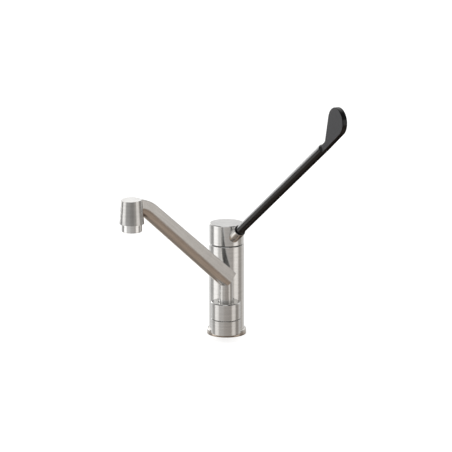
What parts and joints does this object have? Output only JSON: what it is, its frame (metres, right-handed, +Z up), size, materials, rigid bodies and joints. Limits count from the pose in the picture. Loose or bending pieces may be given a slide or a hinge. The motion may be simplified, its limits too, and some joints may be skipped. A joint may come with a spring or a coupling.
{
  "type": "elbow-operated mixer tap",
  "caption": "Deck-mounted mixer tap with a round column, a swivelling spout that rises to one side, and a long black elbow lever with a flat round paddle.",
  "frame": {"origin": "centre of the base flange's underside, on the column's axis", "axes": "+Z up along the column; -Y towards the spout barrel, the front; +X to the right seen from the front"},
  "size_m": [0.2827, 0.2853, 0.3511],
  "materials": {
    "brushed_steel": "brushed, satin",
    "polished_steel": "polished",
    "machined_steel": "machined",
    "brass": "machined",
    "black_plastic": "satin",
    "black_rubber": "matt",
    "white_plastic": "moulded",
    "grey_plastic": "moulded",
    "ceramic": "lapped"
  },
  "bodies": {
    "tap_body": {"base_flange": "brushed_steel", "base_gasket": "black_rubber", "column_body": "brushed_steel", "spout_socket": "brushed_steel", "swivel_spigot": "brass", "swivel_seal_lower": "black_rubber", "swivel_seal_upper": "black_rubber", "swivel_retaining_ring": "machined_steel", "swivel_glide_ring": "white_plastic", "cartridge_base": "white_plastic", "cartridge_port_seals": "black_rubber", "cartridge_shell": "white_plastic", "fixed_ceramic_disc": "ceramic", "cartridge_nut": "brass", "trim_sleeve": "polished_steel"},
    "spout": {"swivel_collar": "brushed_steel", "spout_arm": "brushed_steel", "aerator_housing": "polished_steel", "aerator_insert": "grey_plastic", "aerator_gasket": "black_rubber"},
    "lever_guide": {"stem_carrier": "white_plastic", "stem_pivot_pin": "machined_steel"},
    "lever": {"lever_cap": "brushed_steel", "cap_grub_screw": "machined_steel", "lever_socket": "brushed_steel", "lever_bush": "black_plastic", "lever_stud": "machined_steel", "elbow_lever": "black_plastic", "cartridge_stem": "machined_steel"},
    "mixing_disc": {"moving_ceramic_disc": "ceramic", "disc_carrier": "white_plastic"}
  },
  "joints": [
    {"name": "spout_swivel", "type": "hinge", "parent": "tap_body", "child": "spout", "pos_m": [0, -0.038, 0.0302], "axis": [0, 0, 1], "range_deg": [-42, 138]},
    {"name": "lever_turn", "type": "hinge", "parent": "tap_body", "child": "lever_guide", "pos_m": [0, 0, 0.1], "axis": [0, 0, 1], "range_deg": [-80, 20]},
    {"name": "lever_lift", "type": "hinge", "parent": "lever_guide", "child": "lever", "pos_m": [0, 0, 0.116], "axis": [-0.866, -0.5, 0], "range_deg": [0, 14]},
    {"name": "disc_slide", "type": "slide", "parent": "lever_guide", "child": "mixing_disc", "axis": [0.5, -0.866, 0], "range_m": [0, 0.006]}
  ],
  "couplings": [
    {"joint": "disc_slide", "follows": "lever_lift", "m_per_rad": 0.0237}
  ]
}
